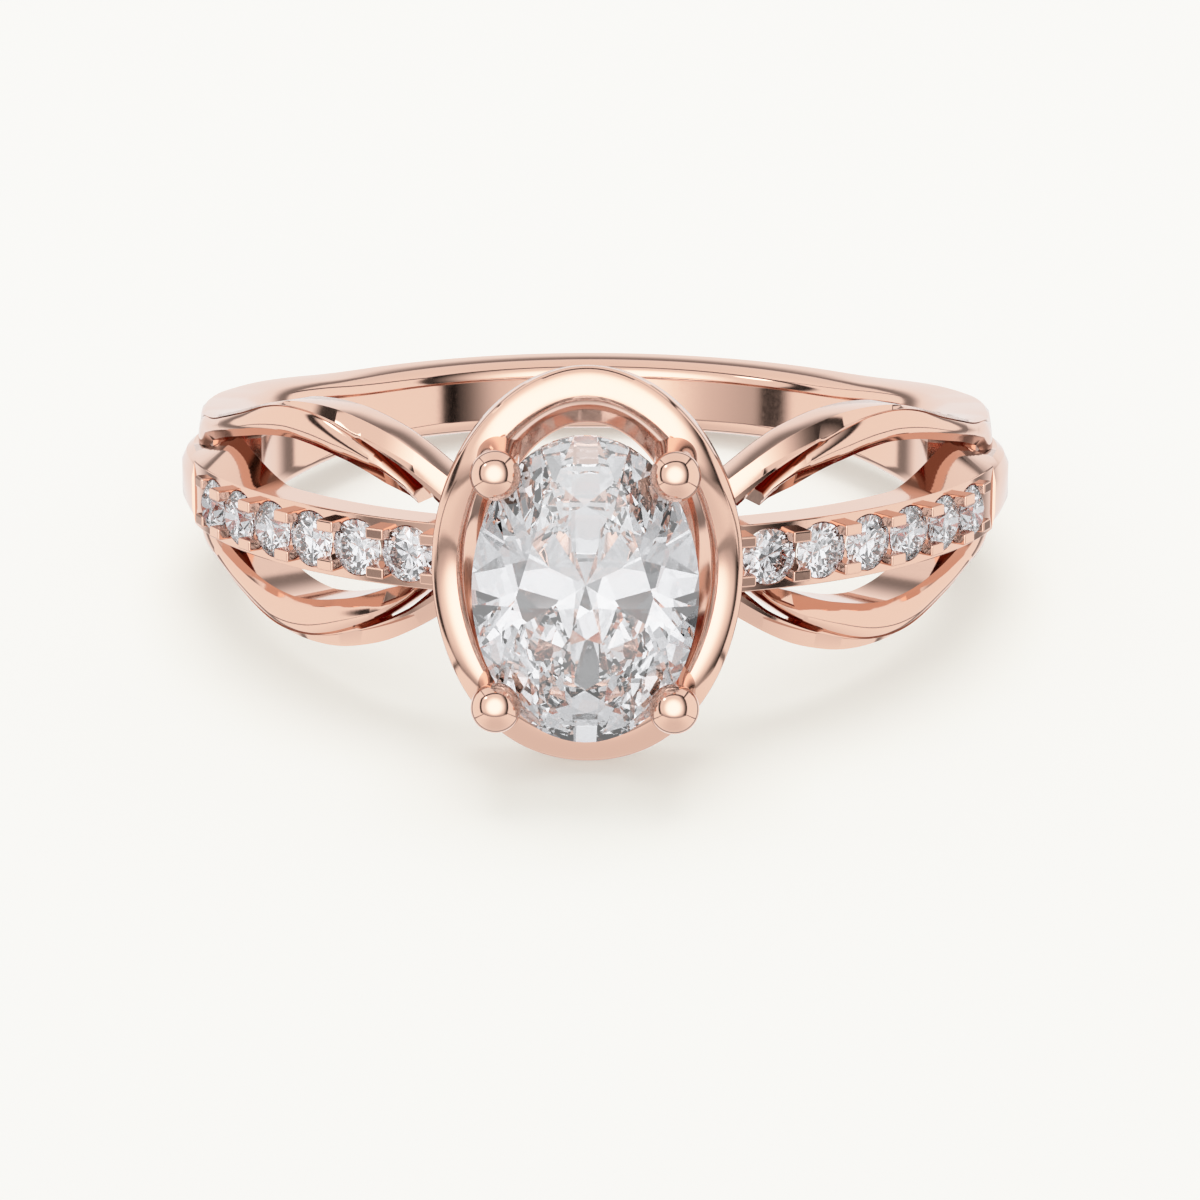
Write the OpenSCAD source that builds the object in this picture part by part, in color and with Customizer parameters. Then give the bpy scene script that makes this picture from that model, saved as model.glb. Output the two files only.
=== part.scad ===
/* [Finger bore] */
// Inside radius of the shank
bore_radius = 8.65; // [7.5:0.05:11]
// Axial length of the finger bore at the back of the shank
bore_length = 1.926; // [1.5:0.01:4]

/* [Shank] */
// Outside radius of the plain back of the shank
shank_radius = 10.10; // [9.8:0.01:10.6]
// Outside radius of the curved strands at the shoulders
strand_radius = 10.15; // [9.8:0.01:10.6]
// Radius where the comfort rounding meets the flat side
comfort_radius = 9.09; // [8.8:0.01:9.6]
// Axial depth of the comfort rounding
comfort_depth = 0.36; // [0.1:0.01:0.6]
// Small bevel on the outer edges
edge_bevel = 0.12; // [0.05:0.01:0.25]
// Axial offset of the strands' middle plane
strand_offset = 0.20; // [0:0.01:0.3]
// Angle from the head where the open slots begin to close
slot_end_angle = 82; // [60:0.5:84]

/* [Stone row] */
// Number of side stones on each shoulder
side_stones = 6; // [4:1:8]
// Angle of the first side stone from the head
first_stone_angle = 24.21; // [22:0.01:27]
// Angle between neighbouring side stones
stone_pitch = 7.741; // [7:0.001:9]
// Girdle radius of a side stone
side_stone_radius = 0.675; // [0.5:0.005:0.75]
// Radius of the girdle plane of the side stones from the ring axis
side_girdle_level = 10.50; // [10.2:0.01:10.7]
// Radius of the top face of the row's rails
row_face_radius = 10.50; // [10.4:0.01:10.8]
// Radius of the row's underside, which bridges the open slots
row_under_radius = 9.53; // [9.3:0.01:9.7]
// Half width of the row
row_half = 0.82; // [0.75:0.01:1.0]
// Angle where the stones' channel ends and the smooth end of the row begins
channel_end_angle = 72; // [68:0.5:75]
// Radius of the smooth end of the row
row_end_radius = 10.57; // [10.4:0.01:10.7]
// Angle where the smooth end has sunk into the shank
row_end_angle = 102; // [90:1:110]
// Radius of the tops of the shared beads
bead_top_radius = 10.82; // [10.6:0.01:11]

/* [Centre stone] */
// Half width of the oval stone at the girdle
stone_half_width = 2.64; // [2:0.01:3.5]
// Half length of the oval stone at the girdle
stone_half_length = 3.66; // [3:0.01:4.5]
// Distance of the girdle plane from the ring axis
girdle_level = 12.95; // [12:0.01:14]
// Height of the crown above the girdle
crown_height = 0.72; // [0.5:0.01:1]
// Depth of the pavilion under the girdle
pavilion_depth = 2.15; // [1.8:0.01:2.6]
// Gap between a stone and the metal
stone_gap = 0.03; // [0.01:0.005:0.06]

/* [Head] */
// Half width of the halo rim
halo_half_width = 3.678; // [3:0.001:4.5]
// Half length of the halo rim
halo_half_length = 4.80; // [4:0.001:5.5]
// Radius of the round prong tips
tip_radius = 0.57; // [0.4:0.01:0.7]
// Radius of the prong posts
post_radius = 0.50; // [0.3:0.01:0.6]
// Sideways distance of the prongs from the middle
prong_x = 2.074; // [1.5:0.001:3]
// Lengthwise distance of the prongs from the middle
prong_z = 2.77; // [2:0.001:4]
// Distance of the prong tips from the ring axis
tip_level = 13.24; // [12.5:0.01:14]
// Distance of the foot of the basket from the ring axis
basket_foot = 9.62; // [9:0.01:10]

/* [Hidden] */
metal_color = "#E9BFA8";
stone_color = "#EDF0F2";
bore_half = bore_length / 2;
bore_reach = 16;
buried_radius = 8.45;
buried_part = (comfort_radius - buried_radius) / (comfort_radius - bore_radius);
halo_rest_level = 10.42;
back_rest_radius = shank_radius - edge_bevel;
rest_run = halo_rest_level + back_rest_radius;
rest_tilt = atan((halo_half_length - bore_half) / rest_run);
rest_lift = back_rest_radius * sin(rest_tilt) + bore_half * cos(rest_tilt);
front_reach = tip_level * cos(rest_tilt) + prong_z * sin(rest_tilt) + tip_radius;
back_reach = shank_radius * cos(rest_tilt) + (bore_half - edge_bevel) * sin(rest_tilt);
rest_shift = (front_reach - back_reach) / 2;

// Half heights of the outer edge of the shoulders and the shank, by angle from the head
OUTER_EDGE = [[15, 1.05], [17.5, 1.36], [19.3, 1.58], [21.9, 1.87], [25.5, 2.24],
    [29.3, 2.56], [33.3, 2.78], [37.5, 2.93], [42.1, 2.97], [47.2, 2.91], [50.3, 2.80],
    [56.5, 2.50], [62.8, 2.17], [70, 1.87], [80, 1.68], [90, 1.61], [100, 1.50],
    [107, 1.39], [116, 1.27], [124, 1.14], [132, 1.01], [140, 0.963], [180, 0.963]];
// Half heights of the inner edge of the long strand
INNER_EDGE = [[21.5, 0.60], [23.1, 0.85], [24.8, 1.10], [25.6, 1.20], [29.4, 1.46],
    [33.5, 1.70], [37.7, 1.87], [42.4, 1.97], [47.5, 1.98], [53.5, 1.87], [60, 1.64],
    [65, 1.45], [70, 1.27], [75, 1.07], [79, 0.90], [82, 0.76], [84, 0.64], [86, 0.44],
    [87.5, 0.16]];
// Half heights of the outer edge of the long strand
LONG_EDGE = [[21.5, 0.72], [23.1, 0.96], [24.1, 1.21], [25.6, 1.47], [29.3, 1.89],
    [31.7, 2.13], [33.7, 2.29], [36, 2.45], [39, 2.63], [43, 2.79], [47.2, 2.86],
    [50.3, 2.79], [56.5, 2.50], [62.8, 2.16], [70, 1.84], [76, 1.70]];
// Half heights of the inner edge of the crossing strand
CROSS_EDGE = [[15, 0.35], [19, 0.74], [20.5, 0.95], [21.9, 1.15], [24.1, 1.48],
    [25.5, 1.67], [29.3, 2.03], [33.3, 2.34], [37.5, 2.50], [42, 2.54], [47, 2.46],
    [54, 2.2]];

// Smooth value of a short table at x
function slot_of(t, x, i = 0) =
    (i >= len(t) - 2 || x < t[i + 1][0]) ? i : slot_of(t, x, i + 1);
function slope_at(t, i) =
    i == 0 ? (t[1][1] - t[0][1]) / (t[1][0] - t[0][0])
    : i == len(t) - 1 ? (t[i][1] - t[i - 1][1]) / (t[i][0] - t[i - 1][0])
    : (t[i + 1][1] - t[i - 1][1]) / (t[i + 1][0] - t[i - 1][0]);
function smooth(t, x) =
    let (i = slot_of(t, x))
    let (h = t[i + 1][0] - t[i][0])
    let (u = (x - t[i][0]) / h)
    let (u2 = u * u)
    let (u3 = u2 * u)
    (2 * u3 - 3 * u2 + 1) * t[i][1] + (u3 - 2 * u2 + u) * h * slope_at(t, i)
    + (3 * u2 - 2 * u3) * t[i + 1][1] + (u3 - u2) * h * slope_at(t, i + 1);

// The middle plane returns to the centre towards the back of the shank
function middle(a) = strand_offset * min(1, max(0, (95 - a) / 29));

// Steps from first to last in equal parts
function steps(first, last, count) =
    [for (i = [0 : count]) first + (last - first) * i / count];

// Closed mesh through rings of equal length, capped at both ends
module skin(rings) {
    n = len(rings[0]);
    m = len(rings);
    points = [for (r = rings) for (p = r) p];
    sides = [for (i = [0 : m - 2]) for (j = [0 : n - 1])
        for (f = [[[i, j], [i + 1, j + 1], [i + 1, j]], [[i, j], [i, j + 1], [i + 1, j + 1]]])
            [for (q = f) q[0] * n + q[1] % n]];
    first_cap = [[for (j = [n - 1 : -1 : 0]) j]];
    last_cap = [[for (j = [0 : n - 1]) (m - 1) * n + j]];
    polyhedron(points = points, faces = concat(sides, first_cap, last_cap), convexity = 6);
}

// Ring of points of a section [radius, height] at an angle from the head
function station(a, section) = [for (q = section) [q[0] * sin(a), -q[0] * cos(a), q[1]]];

// Section of a bar between two heights, with bevelled edges and rounded inside edges
function bar_section(r, low, high, soft_low, soft_high) = [
    [buried_radius, low + soft_low * buried_part],
    [comfort_radius, low],
    [r - edge_bevel, low],
    [r, low + edge_bevel],
    [r, high - edge_bevel],
    [r - edge_bevel, high],
    [comfort_radius, high],
    [buried_radius, high - soft_high * buried_part]];

// Section for the lifted foot of a bar under the halo
function foot_section(inner, r, low, high) = [
    [inner, low + 0.1],
    [inner + 0.1, low],
    [r - edge_bevel, low],
    [r, low + edge_bevel],
    [r, high - edge_bevel],
    [r - edge_bevel, high],
    [inner + 0.1, high],
    [inner, high - 0.1]];

// Heights above and below the middle plane at an angle
function above(table, a) = middle(a) + smooth(table, a);
function below(table, a) = middle(a) - smooth(table, a);

// The whole band as one bar, before the slots are cut
module band() {
    near = steps(17.5, 60, 18);
    back = steps(64, 296, 58);
    far = steps(300, 342.5, 18);
    foot = foot_section(9.75, 10.9, below(OUTER_EDGE, 15), above(OUTER_EDGE, 15));
    body = [for (a = concat(near, back, far))
        let (b = min(a, 360 - a))
        let (r = b > 100 ? shank_radius : strand_radius)
        station(a, bar_section(r, below(OUTER_EDGE, b), above(OUTER_EDGE, b), comfort_depth,
            comfort_depth))];
    skin(concat([station(14.5, foot)], body, [station(345.5, foot)]));
}

// Radial cutter between two heights; each row is [angle, low, high]
module radial_cutter(rows) {
    skin([for (q = rows) station(q[0], [[7.5, q[1]], [11.6, q[1]], [11.6, q[2]], [7.5, q[2]]])]);
}

// Open slots of one shoulder: the window under and beside the row, and the gaps between the strands
module shoulder_slots() {
    side = row_half + 0.04;
    thin = 0.02;
    radial_cutter([for (a = concat(steps(24.6, slot_end_angle, 26), [84, 86, 87.5]))
        [a, below(INNER_EDGE, a), above(INNER_EDGE, a)]]);
    radial_cutter([for (a = steps(19.4, 33.9, 10))
        let (low = max(side, above(LONG_EDGE, max(a, 21.5))))
        [a, low, max(low + thin, above(CROSS_EDGE, a))]]);
    radial_cutter([for (a = steps(21.4, 33.9, 10))
        let (high = min(-side, below(LONG_EDGE, max(a, 21.5))))
        [a, min(high - thin, below(CROSS_EDGE, a)), high]]);
}

// Section of the row: underside, side radius, top radius and half widths
function row_section(under, side, top, shoulder_half, flat_half) = [
    [under, -row_half],
    [side, -row_half],
    [(side + top) / 2 + 0.3 * (top - side), -shoulder_half],
    [top, -flat_half],
    [top, flat_half],
    [(side + top) / 2 + 0.3 * (top - side), shoulder_half],
    [side, row_half],
    [under, row_half]];

// How far the smooth end of the row has sunk at an angle, from 0 to 1
function sunk(a) = pow(max(0, (a - 83) / (row_end_angle - 83)), 1.6);

module stone_row() {
    top = row_face_radius;
    channel = [for (a = steps(19.5, channel_end_angle, 20))
        station(a, row_section(row_under_radius, top - 0.05, top, row_half - 0.01,
            row_half - 0.05))];
    end = [for (a = concat([channel_end_angle + 0.2], steps(74, row_end_angle, 14)))
        let (level = row_end_radius - (row_end_radius - 10.08) * sunk(a))
        station(a, row_section(row_under_radius - 0.3 * sunk(a), level - 0.30, level,
            0.62, 0.36))];
    foot = station(15.5, row_section(9.95, 10.85, 10.90, row_half - 0.01, row_half - 0.05));
    skin(concat([foot], channel, end));
}

// One pair of shared beads beside the stones at an angle
module bead_pair(a, top) {
    rotate([0, 0, a])
        for (s = [-1, 1])
            translate([-0.25, -top, s * 0.49 - 0.14])
                cube([0.5, 0.5, 0.28]);
}

// The raised part of one shoulder
module shoulder() {
    stone_row();
    for (i = [0 : side_stones - 1])
        bead_pair(first_stone_angle + stone_pitch * (i - 0.5), bead_top_radius);
    bead_pair(first_stone_angle + stone_pitch * (side_stones - 0.46), bead_top_radius - 0.14);
}

// Seat for one side stone
module side_seat(a) {
    rotate([0, 0, a])
        rotate([90, 0, 0]) {
            translate([0, 0, side_girdle_level - 0.07])
                cylinder(h = 1, r = side_stone_radius + stone_gap, $fn = 48);
            translate([0, 0, side_girdle_level - 0.80])
                cylinder(h = 0.731, r1 = 0.08, r2 = side_stone_radius + stone_gap, $fn = 48);
        }
}

// Points of an upright ellipse at a distance from the ring axis
function oval(a, b, level, count) =
    [for (i = [0 : count - 1]) [a * cos(360 * i / count), -level, b * sin(360 * i / count)]];

// Ring swept around the head's ellipse; section lists [inset, level]
module oval_ring(section, count) {
    n = len(section);
    a = halo_half_width;
    b = halo_half_length;
    points = [for (i = [0 : count - 1]) for (q = section)
        [(a - q[0]) * cos(360 * i / count), -q[1], (b - q[0]) * sin(360 * i / count)]];
    faces = [for (i = [0 : count - 1]) for (j = [0 : n - 1])
        for (f = [[[i, j], [i + 1, j + 1], [i + 1, j]], [[i, j], [i, j + 1], [i + 1, j + 1]]])
            [for (q = f) (q[0] % count) * n + q[1] % n]];
    polyhedron(points = points, faces = faces, convexity = 6);
}

module halo() {
    oval_ring([[0.04, 10.30], [0, 10.42], [0, 10.55], [0.13, 10.70], [0.32, 10.76],
        [0.52, 10.71], [0.75, 10.52], [1.06, 10.24], [1.08, 10.05], [0.40, 10.05]], 72);
}

module basket() {
    oval_ring([[1.06, basket_foot], [0.98, basket_foot + 0.1], [0.98, 10.20],
        [1.40, 10.20], [1.46, 10.14], [1.46, basket_foot + 0.1], [1.40, basket_foot]], 60);
    for (sx = [-1, 1])
        for (sz = [-1, 1])
            translate([sx * prong_x, 0, sz * prong_z]) {
                translate([0, -tip_level, 0])
                    rotate([-90, 0, 0])
                        cylinder(h = tip_level - basket_foot - 0.05, r = post_radius, $fn = 48);
                translate([0, -tip_level, 0])
                    sphere(r = tip_radius, $fn = 48);
            }
}

// Room for the centre stone, a little larger than the stone
module stone_room() {
    a = stone_half_width + stone_gap;
    b = stone_half_length + stone_gap;
    k = 0.08;
    skin([oval(a * 0.64, b * 0.64, girdle_level + crown_height + stone_gap, 48),
        oval(a, b, girdle_level + 0.10, 48),
        oval(a, b, girdle_level - 0.10, 48),
        oval(a * k, b * k, girdle_level - pavilion_depth, 48)]);
}

// Window between the halo and the basket rail at the top and bottom of the head
module rail_windows() {
    for (s = [-1, 1])
        translate([-0.57, -10.9, s * 3.60 - 0.11])
            cube([1.14, 1.6, 0.22]);
}

// Turns the ring from its own axes to the pose in which it rests
module laid_down() {
    translate([0, rest_shift, rest_lift])
        rotate([-rest_tilt, 0, 0])
            children();
}

module mounting() {
    color(metal_color)
        laid_down()
            difference() {
                union() {
                    difference() {
                        band();
                        shoulder_slots();
                        mirror([1, 0, 0])
                            shoulder_slots();
                    }
                    shoulder();
                    mirror([1, 0, 0])
                        shoulder();
                    halo();
                    basket();
                }
                translate([0, 0, -bore_reach / 2])
                    cylinder(h = bore_reach, r = bore_radius, $fn = 180);
                for (s = [-1, 1])
                    for (i = [0 : side_stones - 1])
                        side_seat(s * (first_stone_angle + stone_pitch * i));
                stone_room();
                rail_windows();
            }
}

// Brilliant cut of unit girdle radius stretched to its half sizes, table towards +Z
module brilliant(half_x, half_y, crown, pavilion, girdle, table) {
    star = 0.79;
    lower = 0.30;
    c = cos(22.5);
    star_height = crown * (1 - star * c) / (1 - table);
    lower_depth = pavilion * (1 - lower * c);
    function at(r, a, z) = [half_x * r * cos(a), half_y * r * sin(a), z];
    points = concat(
        [for (i = [0 : 7]) at(table, 45 * i, girdle + crown)],
        [for (i = [0 : 7]) at(star, 45 * i + 22.5, girdle + star_height)],
        [for (i = [0 : 15]) at(1, 22.5 * i, girdle)],
        [for (i = [0 : 15]) at(1, 22.5 * i, -girdle)],
        [for (i = [0 : 7]) at(lower, 45 * i + 22.5, -girdle - lower_depth)],
        [[0, 0, -girdle - pavilion]]);
    faces = concat(
        [[7, 6, 5, 4, 3, 2, 1, 0]],
        [for (i = [0 : 7]) [i, (i + 1) % 8, 8 + i]],
        [for (i = [0 : 7]) [i, 8 + i, 16 + 2 * i]],
        [for (i = [0 : 7]) [i, 16 + 2 * i, 8 + (i + 7) % 8]],
        [for (i = [0 : 7]) [8 + i, 17 + 2 * i, 16 + 2 * i]],
        [for (i = [0 : 7]) [8 + i, 16 + (2 * i + 2) % 16, 17 + 2 * i]],
        [for (i = [0 : 15]) [16 + i, 16 + (i + 1) % 16, 32 + (i + 1) % 16]],
        [for (i = [0 : 15]) [16 + i, 32 + (i + 1) % 16, 32 + i]],
        [for (i = [0 : 7]) [32 + 2 * i, 33 + 2 * i, 48 + i]],
        [for (i = [0 : 7]) [33 + 2 * i, 32 + (2 * i + 2) % 16, 48 + i]],
        [for (i = [0 : 7]) [32 + 2 * i, 48 + i, 56]],
        [for (i = [0 : 7]) [32 + 2 * i, 56, 48 + (i + 7) % 8]]);
    polyhedron(points = points, faces = faces, convexity = 2);
}

module center_stone() {
    color(stone_color)
        laid_down()
            translate([0, -girdle_level, 0])
                rotate([90, 0, 0])
                    brilliant(stone_half_width, stone_half_length, crown_height - 0.06,
                        pavilion_depth - 0.12, 0.06, 0.58);
}

module side_stone(a) {
    color(stone_color)
        laid_down()
            rotate([0, 0, a])
                translate([0, -side_girdle_level, 0])
                    rotate([90, 0, 0])
                        brilliant(side_stone_radius, side_stone_radius, 0.20, 0.56, 0.02, 0.56);
}

// Angle of a side stone, counted from the head
function row_angle(i) = first_stone_angle + stone_pitch * (i - 1);

mounting();
center_stone();
side_stone(-row_angle(1));  // side_stone_l1
side_stone(-row_angle(2));  // side_stone_l2
side_stone(-row_angle(3));  // side_stone_l3
side_stone(-row_angle(4));  // side_stone_l4
side_stone(-row_angle(5));  // side_stone_l5
side_stone(-row_angle(6));  // side_stone_l6
side_stone(row_angle(1));  // side_stone_r1
side_stone(row_angle(2));  // side_stone_r2
side_stone(row_angle(3));  // side_stone_r3
side_stone(row_angle(4));  // side_stone_r4
side_stone(row_angle(5));  // side_stone_r5
side_stone(row_angle(6));  // side_stone_r6
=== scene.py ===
# %% [markdown]
# # A crossover engagement ring, modelled and lit in Blender
#
# The ring is rose gold with a high polish. An oval brilliant sits in four round prongs above a halo rim,
# and each shoulder carries a bridge of small stones between two strands that cross beside the head. The
# solids from CAD are loaded as a fixed frame, and each cell below replaces one part of them with a finer
# piece.

# %% Load the frame
import math

import bmesh
import bpy
from mathutils import Matrix, Vector


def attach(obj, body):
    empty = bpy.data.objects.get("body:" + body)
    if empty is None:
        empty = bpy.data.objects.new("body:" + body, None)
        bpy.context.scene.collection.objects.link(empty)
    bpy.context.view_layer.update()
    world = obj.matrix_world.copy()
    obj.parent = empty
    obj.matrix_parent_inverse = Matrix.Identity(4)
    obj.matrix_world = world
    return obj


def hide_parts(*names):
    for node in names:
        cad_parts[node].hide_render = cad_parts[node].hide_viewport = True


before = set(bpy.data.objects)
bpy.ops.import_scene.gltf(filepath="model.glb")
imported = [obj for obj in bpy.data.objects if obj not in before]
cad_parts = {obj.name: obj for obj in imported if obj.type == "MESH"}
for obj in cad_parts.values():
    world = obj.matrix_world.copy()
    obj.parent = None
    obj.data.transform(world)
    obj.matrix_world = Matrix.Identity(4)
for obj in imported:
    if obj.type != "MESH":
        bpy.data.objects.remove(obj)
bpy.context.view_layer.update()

# %% [markdown]
# ## The ring's own axes
#
# A ring is easiest to shape standing in its own axes: the finger hole runs along Z, the head looks along
# -Y, and an angle counted from the head says how far round the shank a point lies. All sizes are in
# millimetres and all angles in degrees. Radii and levels count from the middle of the bore.
#
# The finished ring lies on its side, as a ring on a table does, on the edge of its halo and the back edge
# of its shank. These two edges give its tilt and its lift, and the shift brings it to the middle. One
# matrix lays each piece down and turns millimetres into metres, so no object ever needs a place or a scale
# of its own.

# %% Sizes of the whole ring
METRES = 0.001
# Radii of the finger hole, and of the outside of the shank and the strands
BORE = 8.65
SHANK = 10.10
STRAND = 10.15
# Half width of the shank at the back, and the bevel of its edge in CAD
BACK_HALF = 0.963
BACK_BEVEL = 0.12
# Half widths of the halo across and along the finger, and the level of the edge that it rests on
HALO_X = 3.678
HALO_Z = 4.80
HALO_EDGE_LEVEL = 10.42
# How far along the finger and at what level the prongs' round tips lie, and their radius in CAD
PRONG_Z = 2.77
TIP_LEVEL = 13.24
TIP_REACH = 0.57
print("finger hole:", 2 * BORE, "mm across, halo:", 2 * HALO_X, "by", 2 * HALO_Z, "mm")

# %% Laying the ring down
back_edge = SHANK - BACK_BEVEL
tilt = math.atan((HALO_Z - BACK_HALF) / (HALO_EDGE_LEVEL + back_edge))
rest_lift = back_edge * math.sin(tilt) + BACK_HALF * math.cos(tilt)
front_reach = TIP_LEVEL * math.cos(tilt) + PRONG_Z * math.sin(tilt) + TIP_REACH
back_reach = SHANK * math.cos(tilt) + (BACK_HALF - BACK_BEVEL) * math.sin(tilt)
rest_shift = (front_reach - back_reach) / 2
TO_REST = Matrix.Translation((0, rest_shift, rest_lift)) @ Matrix.Rotation(-tilt, 4, "X")
LAY_DOWN = Matrix.Scale(METRES, 4) @ TO_REST
TOWARDS_HEAD = Matrix.Rotation(math.pi / 2, 4, "X")
print("lies back by", round(math.degrees(tilt), 1), "degrees")

# %% Points and curves in the ring's axes
def around(angle, radius, height):
    """A point at an angle from the head, in the ring's own axes."""
    turn = math.radians(angle)
    return Vector((radius * math.sin(turn), -radius * math.cos(turn), height))


def curve_through(table, angle):
    """Smooth height from a short table of angles and heights."""
    if angle <= table[0][0]:
        return table[0][1]
    if angle >= table[-1][0]:
        return table[-1][1]
    i = max(k for k in range(len(table) - 1) if table[k][0] <= angle)

    def slope(k):
        low, high = max(k - 1, 0), min(k + 1, len(table) - 1)
        return (table[high][1] - table[low][1]) / (table[high][0] - table[low][0])

    gap = table[i + 1][0] - table[i][0]
    u = (angle - table[i][0]) / gap
    start = (2 * u**3 - 3 * u**2 + 1) * table[i][1] + (u**3 - 2 * u**2 + u) * gap * slope(i)
    return start + (3 * u**2 - 2 * u**3) * table[i + 1][1] + (u**3 - u**2) * gap * slope(i + 1)


def even_steps(first, last, count):
    """Angles from first to last in equal steps."""
    return [first + (last - first) * k / count for k in range(count + 1)]


def clamp(share):
    """A share kept between nothing and all."""
    return min(1, max(0, share))


print("top of the shank's outside:", [round(part, 2) for part in around(180, SHANK, 0)])

# %% [markdown]
# ## Edges of the strands
#
# Seen from outside, the two strands of a shoulder open like a leaf around the row of stones. Four curves
# give the heights of their edges: the leaf's outline, its opening, and the two edges of the thin gap where
# one strand passes behind the other near the head. The leaf sits a little above the middle of the shank.

# %% Edge curves
OUTER_EDGE = [(15, 1.05), (17.5, 1.36), (19.3, 1.58), (21.9, 1.87), (25.5, 2.24), (29.3, 2.56),
              (33.3, 2.78), (37.5, 2.93), (42.1, 2.97), (47.2, 2.91), (50.3, 2.80), (56.5, 2.50),
              (62.8, 2.17), (70, 1.87), (80, 1.68), (90, 1.61), (100, 1.50), (107, 1.39),
              (116, 1.27), (124, 1.14), (132, 1.01), (140, BACK_HALF), (180, BACK_HALF)]
INNER_EDGE = [(21.5, 0.60), (23.1, 0.85), (24.8, 1.10), (25.6, 1.20), (29.4, 1.46), (33.5, 1.70),
              (37.7, 1.87), (42.4, 1.97), (47.5, 1.98), (53.5, 1.87), (60, 1.64), (65, 1.45),
              (70, 1.27), (75, 1.07), (79, 0.90), (82, 0.76), (84, 0.64), (86, 0.44), (87.5, 0.16)]
LONG_EDGE = [(21.5, 0.72), (23.1, 0.96), (24.1, 1.21), (25.6, 1.47), (29.3, 1.89), (31.7, 2.13),
             (33.7, 2.29), (36, 2.45), (39, 2.63), (43, 2.79), (47.2, 2.86)]
CROSS_EDGE = [(15, 0.35), (19, 0.74), (20.5, 0.95), (21.9, 1.15), (24.1, 1.48), (25.5, 1.67),
              (29.3, 2.03), (33.3, 2.34), (37.5, 2.50), (42, 2.54), (47, 2.46), (54, 2.2)]
RIDGE = [(15, 0.88), (19.8, 1.35), (21.9, 1.59), (25.5, 1.91), (29.3, 2.18), (33.3, 2.41),
         (37.6, 2.63), (42.1, 2.78), (47.2, 2.81), (52, 2.68), (60, 2.24), (70, 1.80), (80, 1.62)]


def middle(angle):
    """Height of the leaf's middle, which comes back to the shank's own middle at the sides."""
    return 0.20 * clamp((95 - angle) / 29)


print("leaf is widest at 42 degrees:", round(2 * curve_through(OUTER_EDGE, 42), 2), "mm")

# %% [markdown]
# ## Rose gold
#
# The metal is 14 karat rose gold, cast, filed and then polished on a wheel until it mirrors the room. Such
# a surface has no grain, so its colour comes from the alloy alone and everything else from what it
# reflects. A very low roughness keeps the mirror, a slow wave of about a tenth of a degree stands for the
# polisher's hand, and fine wheel marks of about a tenth of a millimetre lift the roughness a little here
# and there.

# %% Colour and node helpers
def linear(hex_colour):
    """Linear colour of an sRGB hex value."""
    parts = [int(hex_colour[k:k + 2], 16) / 255 for k in (1, 3, 5)]
    return [c / 12.92 if c <= 0.04045 else ((c + 0.055) / 1.055) ** 2.4 for c in parts] + [1]


def add(tree, kind, settings=None, links=None):
    """One node with its settings and the sockets that feed it."""
    made = tree.nodes.new(kind)
    for key, value in (settings or {}).items():
        if isinstance(key, str) and hasattr(made, key):
            setattr(made, key, value)
        else:
            made.inputs[key].default_value = value
    for socket, source in (links or {}).items():
        tree.links.new(source, made.inputs[socket])
    return made


def new_material(name):
    """An empty material and its node tree."""
    made = bpy.data.materials.new(name)
    made.use_nodes = True
    made.node_tree.nodes.clear()
    return made, made.node_tree


print("gold in linear light:", [round(part, 2) for part in linear("#FACAB5")[:3]])

# %% Polished rose gold
MARKS_PER_MM = 9
WAVES_PER_MM = 0.7


def polished_rose_gold():
    """Mirror of a warm tint, which is all that polished gold shows of itself."""
    metal, tree = new_material("polished_rose_gold")
    place = add(tree, "ShaderNodeTexCoord")
    marks = add(tree, "ShaderNodeTexNoise", {"Scale": MARKS_PER_MM / METRES, "Detail": 3},
                {"Vector": place.outputs["Object"]})
    wave = add(tree, "ShaderNodeTexNoise", {"Scale": WAVES_PER_MM / METRES, "Detail": 1},
               {"Vector": place.outputs["Object"]})
    gloss = add(tree, "ShaderNodeMapRange",
                {"From Min": 0.3, "From Max": 0.7, "To Min": 0.07, "To Max": 0.10},
                {"Value": marks.outputs["Fac"]})
    hand = add(tree, "ShaderNodeBump", {"Strength": 0.12, "Distance": 0.00001},
               {"Height": wave.outputs["Fac"]})
    shade = add(tree, "ShaderNodeBsdfPrincipled", {"Base Color": linear("#FACAB5"), "Metallic": 1.0},
                {"Roughness": gloss.outputs["Result"], "Normal": hand.outputs["Normal"]})
    add(tree, "ShaderNodeOutputMaterial", None, {"Surface": shade.outputs["BSDF"]})
    return metal


rose_gold = polished_rose_gold()
print("metal ready:", rose_gold.name)

# %% [markdown]
# ## Finishing a piece
#
# Every piece ends the same way: its loose doubles are merged, its faces are turned outwards, it is laid
# down in metres, and the folds steeper than a given angle are marked sharp. Real edges are never knife
# sharp, so a Bevel modifier rounds them by a few hundredths of a millimetre. That thin round line is what
# draws a dark or bright edge around each face of polished metal. Each piece then hides the solid of the
# frame that it stands for. The small helpers below pull a ring of points along a path, as a wire is drawn.

# %% Finish
SAME_PLACE = 0.0004


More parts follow.
